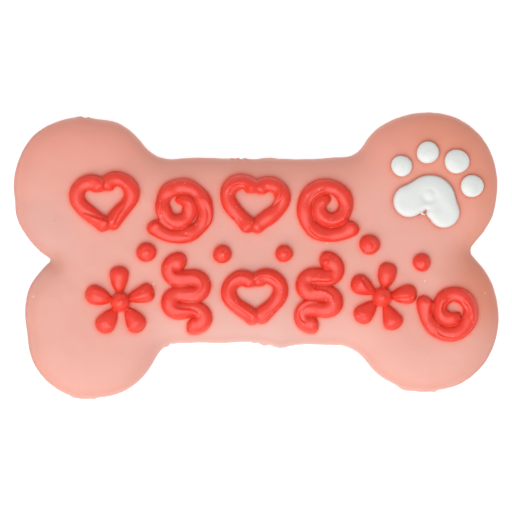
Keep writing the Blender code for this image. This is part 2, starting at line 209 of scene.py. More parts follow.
# Piped icing: a rope, its section, its ends, how it sways and swells along the way, and the fold
# that wanders along its crest beside a groove
SINK = 0.4 * MM
ROPE_WIDTH = 5.0 * MM
ROPE_HEIGHT_RATIO = 0.62
ROPE_WAIST = 0.27
FOOT_SQUARENESS = 0.72
STATION_STEP = 0.3 * MM
AROUND = 40
END_BLOB = 0.14
END_BLOB_REACH = 3.0 * MM
NECK_PLACE = 2.6
NECK_SHARE = 0.35
SWAY, SWAY_LENGTH = 0.16 * MM, 15 * MM
UNEVENNESS, UNEVEN_LENGTH = 0.05, 9 * MM
FOLD_HEIGHT = 0.15
FOLD_GENTLE, FOLD_STEEP = 0.5, 0.11
FOLD_WANDER, WANDER_LENGTH = 0.7, 34 * MM
FOLD_PATCH_LENGTH = 17 * MM
GROOVE_DEPTH, GROOVE_PLACE, GROOVE_REACH = 0.35, 0.32, 0.16
REMESH = 0.18 * MM

# The ornaments' own sizes
SWIRL_WIDTH = 4.3 * MM
SWIRL_PITCH = 4.8 * MM
RIBBON_WIDTH = 4.9 * MM
RUN_OUT = 1.12
RIBBON_WAVES = 2.05
RIBBON_SWING = math.radians(98)
PETALS = 5
PETAL_WIDTH = 6.8 * MM
EYE_WIDTH = 6.2 * MM
EYE_HEIGHT = 4.2 * MM
DOT_HEIGHT = 3.4 * MM
HEART_CROSSING = -0.02
HEART_LOBE = (0.24, 2.45)
DAB_TUCK = 0.35
DAB_WAIST = 0.25
DAB_AROUND, DAB_RINGS = 72, 40

# Each ornament's place, its turn in degrees, how wide or long it is, and the hand that it curls
# to. Hearts and blossoms have no hand, and dots have no turn either.
HEARTS = (
    ((-47.2 * MM, 15.6 * MM), 7, 17.2 * MM),
    ((-0.6 * MM, 14.9 * MM), -5, 17.4 * MM),
    ((-0.2 * MM, -14.2 * MM), 4, 16.4 * MM),
)
SWIRLS = (
    ((-23.8 * MM, 15.0 * MM), 205, 24.2 * MM, 1),
    ((22.8 * MM, 15.2 * MM), -30, 23.6 * MM, -1),
    ((61.4 * MM, -17.2 * MM), 150, 22.0 * MM, 1),
)
BLOSSOMS = (
    ((-42.6 * MM, -14.6 * MM), 92, 22.6 * MM),
    ((39.6 * MM, -13.0 * MM), 78, 22.0 * MM),
)
RIBBONS = (
    ((-21.8 * MM, -12.2 * MM), 3, 25.6 * MM, 1),
    ((19.8 * MM, -11.8 * MM), -4, 25.2 * MM, -1),
)
DOTS = (
    ((-34.4 * MM, 1.0 * MM), 6.2 * MM),
    ((-10.6 * MM, 0.4 * MM), 5.8 * MM),
    ((8.8 * MM, 0.6 * MM), 5.4 * MM),
    ((35.6 * MM, 3.4 * MM), 6.4 * MM),
    ((52.0 * MM, -2.2 * MM), 5.6 * MM),
)

# The paw print: the pad's rounds, the hollow fillets between them and its swells by the notch,
# then the crumbs in the notch, and the toes
PAD_PLACE = (53.7 * MM, 17.7 * MM)
PAD_ROUNDS = (
    ((-5.6 * MM, -0.6 * MM), 5.1 * MM),
    ((5.3 * MM, -4.1 * MM), 4.95 * MM),
    ((0.9 * MM, -0.5 * MM), 8.1 * MM),
)
PAD_FILLETS = (0.9 * MM, 30.0 * MM, 14.0 * MM)
PAD_SWELLS = (
    ((-1.0 * MM, -3.2 * MM), 0.6 * MM, 1.1 * MM),
    ((0.4 * MM, -4.6 * MM), 0.65 * MM, 1.2 * MM),
)
PAD_HEIGHT = 2.1 * MM
PAD_REACH = 2.8 * MM
PAD_MIDDLE = (0.3 * MM, 1.2 * MM)
NOTCH_CRUMBS = (
    ((-1.5 * MM, -4.5 * MM), 0.45 * MM),
    ((-0.9 * MM, -4.9 * MM), 0.34 * MM),
    ((-2.1 * MM, -5.3 * MM), 0.3 * MM),
)
TOES = (
    ((45.7 * MM, 28.1 * MM), 6.6 * MM),
    ((53.9 * MM, 32.3 * MM), 7.0 * MM),
    ((63.0 * MM, 29.5 * MM), 7.7 * MM),
    ((67.8 * MM, 21.8 * MM), 7.1 * MM),
)
TOE_HEIGHT = 2.3 * MM

# View: straight down, with the photograph's frame this wide at the belly's height
FRAME_WIDTH = 161.3 * MM
FRAME_DROP = 0.16 * MM
LENS = 400.0
SENSOR = 36.0

# Patches of painted shade and sheen in the coating's colour: darker and warmer on the upper
# right knuckle and by both notches, paler and greyer on the lit lower side of the shank, and
# darker at two spots by the crumbs on the upper left rim.
# Each patch has its middle, its reach, how much of it counts and its colour.
SHADE_AND_SHEEN_PATCHES = (
    ((72 * MM, 37 * MM, 10 * MM), 40 * MM, 0.95, colour(0.74, 0.285, 0.19)),
    ((77 * MM, -7 * MM, 10 * MM), 23 * MM, 0.80, colour(0.69, 0.235, 0.135)),
    ((-2 * MM, -38 * MM, 8 * MM), 46 * MM, 0.75, colour(0.67, 0.385, 0.335)),
    ((-67 * MM, 6 * MM, 10 * MM), 15 * MM, 0.60, colour(0.61, 0.30, 0.25)),
    ((-62.8 * MM, -2.6 * MM, 9 * MM), 6 * MM, 0.35, colour(0.64, 0.255, 0.18)),
    ((-55.4 * MM, 44.0 * MM, 6.6 * MM), 2.2 * MM, 0.80, colour(0.54, 0.22, 0.19)),
    ((-52.8 * MM, 43.8 * MM, 6.6 * MM), 1.8 * MM, 0.80, colour(0.54, 0.22, 0.19)),
)

# Painted shade: the coating's upper side and its shoulder at both ends are darker and warmer:
# from where to where, how much of it counts, and its colour
UPPER_SHADE_FADE = (14 * MM, 38 * MM)
UPPER_SHADE_SHARE = 0.47
UPPER_SHADE = colour(0.80, 0.275, 0.19)
SHOULDER_SHADE_START = (5.4 * MM, 7.0 * MM)
SHOULDER_SHADE_STOP = (9.2 * MM, 7.8 * MM)
SHOULDER_SHADE_ENDS = (55 * MM, 72 * MM)
SHOULDER_SHADE_SHARE = 0.7
SHOULDER_SHADE = colour(0.64, 0.22, 0.145)

# Bare biscuit shows through in crumbs at the rim, half-way along the upper side
BARE_PLACES = (
    (-7.0 * MM, 30.5 * MM, 7.1 * MM),
    (-5.0 * MM, 30.4 * MM, 7.3 * MM),
    (-2.9 * MM, 30.4 * MM, 7.1 * MM),
    (-1.2 * MM, 30.6 * MM, 6.6 * MM),
)
BARE_REACH = 1.8 * MM
BARE_SHARE = 0.95
BARE_BISCUIT = colour(0.72, 0.19, 0.06)

# Painted shade round the icing in the coating's colour, a wide warm shade first and then a
# narrow dark contact line, red by the red icing where it stands for the light that the icing
# reflects: the layer's name, the icing, its reach, how much of it counts and its colour
CONTACT_SHADES = (
    ("red_wide_shade", "red_icing", 1.8 * MM, 0.26, colour(0.76, 0.24, 0.165)),
    ("white_wide_shade", "white_icing", 2.4 * MM, 0.5, colour(0.72, 0.22, 0.15)),
    ("red_contact_shade", "red_icing", 0.45 * MM, 0.85, colour(0.91, 0.12, 0.06)),
    ("white_contact_shade", "white_icing", 0.45 * MM, 0.9, colour(0.67, 0.13, 0.06)),
)
CONTACT_SHADE_STRENGTH = 1.5
CONTACT_SHADE_FADE = (6 * MM, 9 * MM)

# How far the painted shade round the icing is shifted from where the icing stands, up and to
# the right, away from the softbox
SHADE_SHIFT = (0.08 * MM, 0.28 * MM, 0.0)

# Two tones of each food, and its clouds, specks and grains; the red icing's grains are paler
# partly as painted glints
PINK_TONES = colour(0.72, 0.338, 0.27), colour(0.74, 0.363, 0.296)
PINK_CLOUD = colour(0.71, 0.328, 0.265)
PALE_SPECK = colour(0.95, 0.72, 0.62)
DARK_SPECK = colour(0.36, 0.15, 0.11)
RED_TONES = colour(0.79, 0.044, 0.019), colour(0.83, 0.057, 0.029)
RED_GRAIN_AND_GLINT = colour(1.0, 0.4, 0.33)
WHITE_TONES = colour(0.705, 0.72, 0.70), colour(0.735, 0.75, 0.73)

# Light: one large softbox, up and to the lower left, in an even surround
SOFTBOX_PLACE = (-0.24, -0.61, 1.126)
SOFTBOX_SIZE = 1.6
SOFTBOX_POWER = 18.9
AMBIENT = 0.48
FLOOR_SIZE = 4.0
FLOOR_DROP = 0.1 * MM
FLOOR_GREY = 0.31
FLOOR_GLOW = 0.85


# Plan of the bone


def fillet_centre(first, second, radius):
    """The middle of a hollow fillet that touches two rounds on the outline's outer side.

    It is as far from the middle of each round as that round's radius and its own together.
    """
    (centre, reach), (other, other_reach) = first, second
    centre, other = np.array(centre), np.array(other)
    span = np.linalg.norm(other - centre)
    along = (other - centre) / span
    outward = np.array((along[1], -along[0]))
    near, far = reach + radius, other_reach + radius
    foot = (near**2 - far**2 + span**2) / (2 * span)
    return centre + along * foot + outward * math.sqrt(near**2 - foot**2)


def arc(centre, radius, start, end, step, hollow):
    """Points along an arc from one offset to another, without its last, and outward normals."""
    turns = [math.atan2(offset[1], offset[0]) for offset in (start, end)]
    sweep = (turns[0] - turns[1]) % math.tau if hollow else (turns[1] - turns[0]) % math.tau
    count = max(3, round(sweep * radius / step))
    turn = turns[0] + (-sweep if hollow else sweep) * np.arange(count) / count
    radial = np.stack((np.cos(turn), np.sin(turn)), axis=1)
    return centre + radius * radial, -radial if hollow else radial


def rounded_outline(rounds, fillets, step):
    """Points and outward normals of convex rounds joined by hollow fillets, anticlockwise."""
    count = len(rounds)
    hollows = [
        fillet_centre(rounds[i], rounds[(i + 1) % count], fillets[i]) for i in range(count)
    ]
    runs = []
    for i, (centre, radius) in enumerate(rounds):
        centre, following = np.array(centre), np.array(rounds[(i + 1) % count][0])
        runs.append(arc(centre, radius, hollows[i - 1] - centre, hollows[i] - centre, step, False))
        hollow = hollows[i]
        runs.append(arc(hollow, fillets[i], centre - hollow, following - hollow, step, True))
    return np.concatenate([run[0] for run in runs]), np.concatenate([run[1] for run in runs])


def swelling(points, swells):
    """How far a list of swells pushes each point of the outline out: a sum of round bumps."""
    out = np.zeros(len(points))
    for centre, height, width in swells:
        out += height * np.exp(-(((points - centre) / width) ** 2).sum(axis=1))
    return out


def bone_outline(step):
    """The bone's points, normals and foot spread, hand-cut uneven and centred on the origin.

    The rounds and fillets are pushed out by the cut's swells, centred with the foot's lumps,
    and pushed out again by the coating's swells.
    """
    points, normals = rounded_outline(OUTLINE_ROUNDS, OUTLINE_FILLETS, step)
    points = points + normals * swelling(points, OUTLINE_SWELLS)[:, None]
    spread = swelling(points, FOOT_LUMPS)
    reach = points + normals * spread[:, None]
    points = points - (reach.min(axis=0) + reach.max(axis=0)) / 2
    return points + normals * swelling(points, COATING_SWELLS)[:, None], normals, spread


def smooth_step(value, low, high):
    """0 below low and 1 above high, with the cubic 3t^2 - 2t^3 between."""
    share = np.clip((value - low) / (high - low), 0, 1)
    return share * share * (3 - 2 * share)


def waves(points, wavelength, seed, count=9):
    """Unevenness between about -1 and 1: a mean of plane waves with random headings."""
    draw = np.random.default_rng(seed)
    total = 0.0
    for _ in range(count):
        heading = draw.normal(size=points.shape[-1])
        heading /= np.linalg.norm(heading)
        length = wavelength * draw.uniform(0.7, 1.5)
        total = total + np.sin(points @ heading * math.tau / length + draw.uniform(0, math.tau))
    return total / math.sqrt(count)


def crown_height(inset):
    """The top's height at an inset from the outline: a tight shoulder, then a slow crown.

    It rises from the belly by a root of what is left of 1 after a power of the way still to go.
    """
    share = 1 - np.clip(inset / CROWN_REACH, 0, 1)
    rise = (1 - share**CROWN_SLOPE) ** (1 / CROWN_SHOULDER)
    return BELLY_HEIGHT + (THICKNESS - BELLY_HEIGHT) * rise


def coating_ripple(points, inset):
    """Low unevenness of the set coating: long swells and short dimples, fading to the edge.

    A bell-shaped dent is taken from the sum of their waves.
    """
    fade = smooth_step(inset, *RIPPLE_FADE)
    ripple = sum(height * waves(points, length, seed) for height, length, seed in TOP_RIPPLES)
    dent = DENT_DEPTH * np.exp(-(((points - DENT_PLACE) / DENT_REACH) ** 2).sum(axis=-1))
    return fade * ripple - dent


def nearest_gap(points, edge):
    """How far each point of the plan is from the nearest of an outline's points, in blocks."""
    flat = points[..., :2].reshape(-1, 2)
    blocks = np.array_split(flat, 1 + len(flat) * len(edge) // 2_000_000)
    gaps = [np.hypot(*np.moveaxis(block[:, None] - edge, -1, 0)).min(axis=1) for block in blocks]
    return np.concatenate(gaps).reshape(points.shape[:-1])


class Table:
    """Values over the plan at an even pitch, read between its entries."""

    pitch = 0.4 * MM
    edge_step = 0.5 * MM
    margin = 3 * MM

    def __init__(self):
        self.edge = bone_outline(self.edge_step)[0]
        self.low = self.edge.min(axis=0) - self.margin
        span = self.edge.max(axis=0) + self.margin - self.low
        counts = np.ceil(span / self.pitch).astype(int)
        x, y = (self.low[i] + self.pitch * np.arange(counts[i]) for i in range(2))
        self.plan = np.stack(np.meshgrid(x, y, indexing="ij"), axis=-1)

    def cells(self, points):
        """Each point's entry and its place beyond it, as shares of the pitch."""
        place = (points[..., :2] - self.low) / self.pitch
        cell = np.clip(np.floor(place).astype(int), 0, np.array(self.plan.shape[:2]) - 2)
        return np.moveaxis(cell, -1, 0), np.moveaxis(place - cell, -1, 0)

    def read(self, values, points):
        """The value at each point, by its share of the four entries round it."""
        (i, j), (u, v) = self.cells(points)
        near = values[i, j] * (1 - v) + values[i, j + 1] * v
        far = values[i + 1, j] * (1 - v) + values[i + 1, j + 1] * v
        return near * (1 - u) + far * u

    def blurred(self, values, reach):
        """The table smoothed by a bell of this reach: each of its waves is weakened by a bell."""
        down = np.fft.fftfreq(values.shape[0], self.pitch)[:, None]
        across = np.fft.rfftfreq(values.shape[1], self.pitch)
        bell = np.exp(-2 * (math.pi * reach) ** 2 * (down**2 + across**2))
        return np.fft.irfft2(np.fft.rfft2(values) * bell, values.shape)


plan_table = Table()
plan_inset = nearest_gap(plan_table.plan, plan_table.edge)
plan_height = crown_height(plan_inset) + coating_ripple(plan_table.plan, plan_inset)
icing_prints = {slot: np.zeros(plan_inset.shape) for _, slot, *_ in CONTACT_SHADES}


def coating_top(points):
    """The height of the coating's top at each point of the plan."""
    return plan_table.read(plan_height, points)


# Meshes


def skinned(name, grids, material):
    """A closed piece, or several strokes in one mesh, from grids of points.

    Each grid closes round its second axis. Its first and last rings are drawn together, to a
    point or a line, and welded there.
    """
    quads, first = [], 0
    for rings, around, _ in (grid.shape for grid in grids):
        corner = first + np.arange(rings * around).reshape(rings, around)
        following = np.roll(corner, -1, axis=1)
        sides = (corner[:-1], following[:-1], following[1:], corner[1:])
        quads.append(np.stack(sides, axis=-1).reshape(-1, 4))
        first += rings * around
    mesh = bpy.data.meshes.new(name)
    places = np.concatenate([grid.reshape(-1, 3) for grid in grids])
    mesh.from_pydata(places, [], np.concatenate(quads))
    piece = bpy.data.objects.new(name, mesh)
    bpy.context.scene.collection.objects.link(piece)
    mesh.materials.append(material)
    piece.modifiers.new("Close", "WELD").merge_threshold = 1e-6
    return piece


def closed_ends(grid):
    """The grid with a ring added at either end that is drawn together to its middle."""
    ends = [np.broadcast_to(ring.mean(axis=0), ring.shape)[None] for ring in (grid[0], grid[-1])]
    return np.concatenate((ends[0], grid, ends[1]))


def settle(piece):
    """Replaces a piece's mesh by what its modifiers make of it, and shades it smooth."""
    graph = bpy.context.evaluated_depsgraph_get()
    mesh = bpy.data.meshes.new_from_object(piece.evaluated_get(graph))
    piece.modifiers.clear()
    piece.data = mesh
    mesh.shade_smooth()
    return piece


def points_of(piece):
    """The piece's points as an array."""
    places = np.empty(len(piece.data.vertices) * 3, np.float32)
    piece.data.vertices.foreach_get("co", places)
    return places.reshape(-1, 3).astype(float)


def move_points(piece, places):
    """Puts the piece's points at new places."""
    piece.data.vertices.foreach_set("co", places.astype(np.float32).ravel())
    piece.data.update()


def finished(piece, node, slot):
    """Sets a piece on the biscuit in place of its solid, and notes where its foot touches."""
    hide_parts(node)
    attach(piece, "root")
    if slot in icing_prints:
        places = points_of(piece)
        foot = places[places[:, 2] < coating_top(places) + 0.5 * MM]
        (i, j), _ = plan_table.cells(foot)
        icing_prints[slot][i, j] = 1
    return piece


# The coated biscuit


def crowded(low, high, count, places, spots):
    """Stations from low to high that crowd together near the rim's small nicks.

    The share of stations passed is the sum of a steady rate and of one bump for each nick.
    """
    rate = 1 + sum(
        CROWDING * np.exp(-(((places - spot) / CROWDING_REACH) ** 2).sum(axis=1)) for spot in spots
    )
    fine = np.linspace(low, high, len(places))
    passed = np.concatenate(((0.0,), np.cumsum((rate[1:] + rate[:-1]) / 2)))
    return np.interp(np.linspace(0, passed[-1], count), passed, fine)


def knuckle_and_side_points():
    """The outline resampled: by shared x along the two sides, by length round each end.

    So a point on the upper side and the one below it on the lower side share their x.
    """
    edge, normals, spread = bone_outline(EDGE_STEP)
    x = edge[:, 0]
    seam = np.flatnonzero((x > SPINE_REACH) & (np.roll(x, -1) <= SPINE_REACH))[0]
    edge, normals, spread = (np.roll(a, -seam - 1, axis=0) for a in (edge, normals, spread))
    x = edge[:, 0]
    steps = np.linalg.norm(np.diff(edge, axis=0, append=edge[:1]), axis=1)
    run = np.concatenate(((0.0,), np.cumsum(steps)))
    crossing = np.flatnonzero(np.diff((np.abs(x) > SPINE_REACH).astype(int))) + 1
    first, second, third = crossing[:3]
    closed = [np.concatenate((a, a[:1])) for a in (edge, normals, spread)]

    spots = [np.array(place) for place, _, _ in RIM_NICKS]
    side_x = np.linspace(-SPINE_REACH, SPINE_REACH, 900)
    side_spots = [spot[:1] for spot in spots if abs(spot[0]) < SPINE_REACH]
    spine = crowded(-SPINE_REACH, SPINE_REACH, SPINE_POINTS, side_x[:, None], side_spots)
    upper = np.interp(-spine[::-1], -x[:first], run[:first])
    lower = np.interp(spine, x[second:third], run[second:third])
    left = crowded(run[first], run[second], KNUCKLE_POINTS + 2, edge[first:second], spots)[1:-1]
    right = crowded(run[third], run[-1], KNUCKLE_POINTS + 2, closed[0][third:], spots)[1:-1]
    stations = np.concatenate((upper, left, lower, right))
    edge, normals = (
        np.stack([np.interp(stations, run, a[:, i]) for i in range(2)], axis=1)
        for a in closed[:2]
    )
    return edge, normals, np.interp(stations, run, closed[2])


def coated_biscuit(material):
    """The dipped biscuit as one closed grid of rings.

    From the underside's spine the rings run straight out to the foot, up a section of insets
    and heights to the shoulder, then straight in to the spine again at the height of the top.
    """
    edge, normals, spread = knuckle_and_side_points()
    spine = np.stack((np.clip(edge[:, 0], -SPINE_REACH, SPINE_REACH), 0 * edge[:, 0]), axis=1)
    foot = edge - normals * FOOT_INSET
    under = np.linspace(0, 1, UNDERSIDE_RINGS)[:, None, None]
    plans = [spine + (foot - spine) * under]
    heights = [np.zeros(plans[0].shape[:2])]

    insets, levels = side_section()
    pooled = spread * np.clip(1 - levels / FOOT_TOP, 0, 1)[:, None]
    low_down = np.exp(-(((levels - SAG_HEIGHT) / SAG_REACH) ** 2))[:, None]
    below_shoulder = 1 - smooth_step(levels, *WAVER_FADE)[:, None]
    half_way_up = np.exp(-(((levels - BELLY_HEIGHT) / NICK_REACH) ** 2))[:, None]
    sag = SAG_DEPTH * np.abs(waves(edge, SAG_LENGTH, SAG_SEED)) * low_down
    waver = WAVER_DEPTH * waves(edge, WAVER_LENGTH, WAVER_SEED) * below_shoulder
    waver = waver + swelling(edge, RIM_NICKS) * half_way_up
    out = pooled - insets[:, None] - sag + waver
    plans.append(edge + normals * out[..., None])
    heights.append(np.repeat(levels[:, None], len(edge), axis=1))

    shoulder = edge - normals * SHOULDER_INSET
    inward = np.linspace(0, 1, TOP_RINGS + 1)[1:, None, None]
    plans.append(shoulder + (spine - shoulder) * inward)
    heights.append(coating_top(plans[-1]))

    grid = np.concatenate((np.concatenate(plans), np.concatenate(heights)[..., None]), axis=-1)
    low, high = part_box("coated_biscuit")
    own = np.ptp(grid[..., :2].reshape(-1, 2), axis=0)
    # Its swells and nicks keep to the room that they have round the solid
    grid[..., :2] *= np.minimum(COATING_ROOM * (np.array(high) - np.array(low))[:2] / own, 1)
    piece = settle(skinned("coating", [grid], material))
    places = points_of(piece)
    # Painted shade round the icing, kept on the coating's points and shifted away from the softbox
    on_top = smooth_step(places[:, 2], *CONTACT_SHADE_FADE)
    for name, icing, reach, _, _ in CONTACT_SHADES:
        contact_shade = np.clip(CONTACT_SHADE_STRENGTH * plan_table.blurred(icing_prints[icing], reach), 0, 1)
        contact_shade = plan_table.read(contact_shade, places - SHADE_SHIFT) * on_top
        layer = piece.data.attributes.new(name, "FLOAT", "POINT")
        layer.data.foreach_set("value", contact_shade.astype(np.float32))
    return finished(piece, "coated_biscuit", "pink_coating")


def side_section():
    """Insets and heights up the side: the foot, the waist, and the shoulder from the belly on.

    The shoulder's insets are a power of the way in, and its heights follow the crown.
    """
    shoulder = SHOULDER_INSET * np.linspace(0, 1, SHOULDER_RINGS) ** SHOULDER_EASE
    insets = np.concatenate((SIDE_SECTION[:, 0], shoulder))
    return insets, np.concatenate((SIDE_SECTION[:, 1], crown_height(shoulder)))


# Piped icing


def walk(path, stations):
    """Points of a path at given lengths along it, and the unit sideways directions there."""
    steps = np.linalg.norm(np.diff(path, axis=0), axis=1)
    run = np.concatenate(((0.0,), np.cumsum(steps)))
    reach = 0.3 * MM
    centre, ahead, behind = (
        np.stack([np.interp(stations + shift, run, path[:, i]) for i in range(2)], axis=1)
        for shift in (0, reach, -reach)
    )
    along = ahead - behind
    along /= np.linalg.norm(along, axis=1)[:, None]
    return centre, np.stack((-along[:, 1], along[:, 0]), axis=1)


def squeeze(path, width, seed, blobs=(END_BLOB, END_BLOB), swell=None, crest=None, lift=None):
    """A rope of icing as a grid of sections along a path that wavers a little.

    Each section is an ellipse above the waist and a squared-off one below it, so that the rope
    stands on a flat foot. The width and height follow a half circle at both ends, swell in a
    blob there with a neck behind it, and waver along the way. A fold wanders along the crest:
    it rises gently on one side and falls away steeply on the other, into a groove. Blobs, necks,
    folds and grooves are bells, and the wavering is a sum of waves.
    """
    length = np.linalg.norm(np.diff(path, axis=0), axis=1).sum()
    radius = width / 2 * (1 + max(blobs) / 2) * (swell(0) if swell else 1)
    cap = radius * (1 - np.cos(np.linspace(0.02, math.pi / 2, 14)))
    middle = np.linspace(radius, length - radius, max(4, round(length / STATION_STEP)))
    stations = np.concatenate((cap[:-1], middle, length - cap[-2::-1]))
    centre, side = walk(path, stations)
    spot = stations[:, None]
    centre = centre + side * (SWAY * waves(spot, SWAY_LENGTH, seed + 3, 4))[:, None]
    rest = length - stations
    rounding = np.sqrt(1 - (1 - np.minimum(np.minimum(stations, rest) / radius, 1)) ** 2)
    share = stations / length
    waver = 1 + UNEVENNESS * waves(spot, UNEVEN_LENGTH, seed, 5)
    for blob, away in zip(blobs, (stations, rest)):
        waver += blob * np.exp(-((away / END_BLOB_REACH) ** 2))
        past_neck = (away - NECK_PLACE * END_BLOB_REACH) / END_BLOB_REACH
        waver -= NECK_SHARE * blob * np.exp(-(past_neck**2))
    widths = width * rounding * waver
    heights = widths * ROPE_HEIGHT_RATIO * (crest(share) if crest else 1)
    widths = widths * (swell(share) if swell else 1)

    turn = np.linspace(0, math.tau, AROUND, endpoint=False)
    cosine, sine = np.cos(turn), np.sin(turn)
    square = np.where(sine < 0, FOOT_SQUARENESS, 1.0)
    across = 0.5 * np.sign(cosine) * np.abs(cosine) ** square
    low, high = -ROPE_WAIST * np.abs(sine) ** FOOT_SQUARENESS, (1 - ROPE_WAIST) * sine
    up = ROPE_WAIST + np.where(sine < 0, low, high)
    fold_at = math.pi / 2 + FOLD_WANDER * waves(spot, WANDER_LENGTH, seed + 1, 4)[:, None]
    away = (turn - fold_at) * np.sign(waves(spot[:1], MM, seed + 4, 1))
    fold = np.exp(-((away / np.where(away < 0, FOLD_GENTLE, FOLD_STEEP)) ** 2))
    fold = fold - GROOVE_DEPTH * np.exp(-(((away - GROOVE_PLACE) / GROOVE_REACH) ** 2))
    patches = np.clip(0.4 + 1.3 * waves(spot, FOLD_PATCH_LENGTH, seed + 2, 4), 0, 1)
    fold *= FOLD_HEIGHT * patches[:, None]
    fold *= smooth_step(sine, -0.1, 0.3)
    across, up = across * (1 + fold), up * (1 + fold)
    plan = centre[:, None] + side[:, None] * (widths[:, None] * across)[..., None]
    height = heights[:, None] * up
    if lift:
        height = height + (lift(share) * rounding)[:, None]
    return closed_ends(np.concatenate((plan, height[..., None]), axis=-1))


def dab(width, height, seed, lean=0.12, curl=0.04, peak=0.05, flatness=1.0):
    """A dome of icing as a grid of rings: tucked in at the foot, its peak drawn to one side.

    Above the waist the height is a power of the sine of the rise. A low spiral ridge, where the
    nozzle was twisted away, runs in to the peak.
    """
    turn = np.linspace(0, math.tau, DAB_AROUND, endpoint=False)
    rise = np.linspace(-DAB_TUCK, 1, DAB_RINGS)[:, None] * math.pi / 2
    radius = np.cos(rise) ** 0.9
    below = DAB_WAIST * (1 + np.sin(rise) / math.sin(DAB_TUCK * math.pi / 2))
    above = DAB_WAIST + (1 - DAB_WAIST) * np.abs(np.sin(rise)) ** flatness
    up = np.where(rise < 0, below, above)
    draw = np.random.default_rng(seed)
    heading = draw.uniform(0, math.tau)
    spiral = np.cos(turn - heading - 5.0 * (1 - radius))
    inside = smooth_step(radius, 0.03, 0.25) * (1 - smooth_step(radius, 0.45, 0.8))
    tip = peak * np.exp(-((radius / 0.16) ** 2))
    up = up + (curl * inside * spiral + tip) * (rise > 0)
    radius = radius * (1 + 0.02 * np.cos(2 * turn - heading) + 0.015 * np.cos(3 * turn + heading))
    x = width / 2 * (radius * np.cos(turn) + lean * up**3 * math.cos(heading))
    y = width / 2 * (radius * np.sin(turn) + lean * up**3 * math.sin(heading))
    return closed_ends(np.stack((x, y, height * up), axis=-1))


def heart_strokes(size, seed):
    """An outlined heart in two strokes, each from the dip round one lobe to the point.

    A lobe is x = sin^3 t, y = 13 cos t - 5 cos 2t - 2 cos 3t - cos 4t, and from its lower flank
    the stroke runs straight on. The second stroke rides over the first at the dip and the point.
    """
    t = np.linspace(*HEART_LOBE, 200)
    x = 0.5 * np.sin(t) ** 3
    y = (13 * np.cos(t) - 5 * np.cos(2 * t) - 2 * np.cos(3 * t) - np.cos(4 * t) + 2.5) / 32
    slope = (y[-1] - y[-2]) / (x[-1] - x[-2])
    flank = np.linspace(x[-1], HEART_CROSSING, 30)[1:]
    x, y = np.append(x, flank), np.append(y, y[-1] + slope * (flank - x[-1]))
    under = squeeze(np.stack((x, y), axis=1) * size, ROPE_WIDTH, seed)
    over = squeeze(
        np.stack((-x, y), axis=1) * size,
        ROPE_WIDTH,
        seed + 7,
        crest=lambda share: 1 + 0.06 * np.cos(math.tau * share),
        lift=lambda share: 0.7 * MM * np.cos(math.pi * share) ** 8,
    )
    return [under, over]


def swirl_strokes(size, hand, seed):
    """A snail of icing: the radius falls evenly with the angle, from the rim to the middle.

    The icing has run out a little, so that the coils touch.
    """
    outer, inner = (size - SWIRL_WIDTH) / 2, SWIRL_PITCH * 0.3
    share = np.linspace(0, 1, 700)
    radius = outer + (inner - outer) * share
    angle = share * math.tau * (outer - inner) / SWIRL_PITCH
    path = np.stack((radius * np.cos(angle), hand * radius * np.sin(angle)), axis=1)
    crest = lambda share: (1 + 0.15 * share**2) / RUN_OUT
    return [squeeze(path, SWIRL_WIDTH * RUN_OUT, seed, (0.3, 0.04), crest=crest)]


def ribbon_strokes(size, hand, seed):
    """A meander like ribbon candy: its heading swings as a cosine of the length run.

    The icing has run out a little, so that the runs touch.
    """
    run = np.linspace(-0.5, 0.5, 900) * RIBBON_WAVES * math.tau
    heading = RIBBON_SWING * np.cos(run)
    path = np.cumsum(np.stack((hand * np.sin(heading), np.cos(heading)), axis=1), axis=0)
    path -= (path.min(axis=0) + path.max(axis=0)) / 2
    path *= (size - RIBBON_WIDTH) / np.ptp(path[:, 1])
    crest = lambda share: 1 / RUN_OUT
    return [squeeze(path, RIBBON_WIDTH * RUN_OUT, seed, (0.22, 0.22), crest=crest)]


def blossom_strokes(size, seed):
    """Teardrop dabs drawn in to a middle one, evenly round it."""
    strokes = []
    for i in range(PETALS):
        angle = i * math.tau / PETALS
        heading = np.array((math.cos(angle), math.sin(angle)))
        path = np.linspace(0.5, 0.1, 60)[:, None] * size * heading
        strokes.append(
            squeeze(
                path,
                PETAL_WIDTH,
                seed + 11 * i,
                (0.06, 0.0),
                swell=lambda share: 1.1 - 0.62 * share,
                crest=lambda share: 0.9 - 0.3 * share,
            )
        )
    return [*strokes, dab(EYE_WIDTH, EYE_HEIGHT, seed)]


def piped(node, strokes, place, turn, material, slot="red_icing"):
    """Strokes made about their own middle, run together as soft icing and laid on the coating."""
    piece = skinned("icing_" + node, strokes, material)
    run_together = piece.modifiers.new("Run together", "REMESH")
    run_together.mode = "VOXEL"
    run_together.voxel_size = REMESH
    soften = piece.modifiers.new("Soften", "SMOOTH")
    soften.factor = 0.5
    soften.iterations = 2
    settle(piece)
    places = points_of(piece)
    c, s = math.cos(math.radians(turn)), math.sin(math.radians(turn))
    places[:, :2] = places[:, :2] @ np.array(((c, s), (-s, c))) + place
    places[:, 2] += coating_top(places) - SINK
    move_points(piece, places)
    return finished(piece, node, slot)


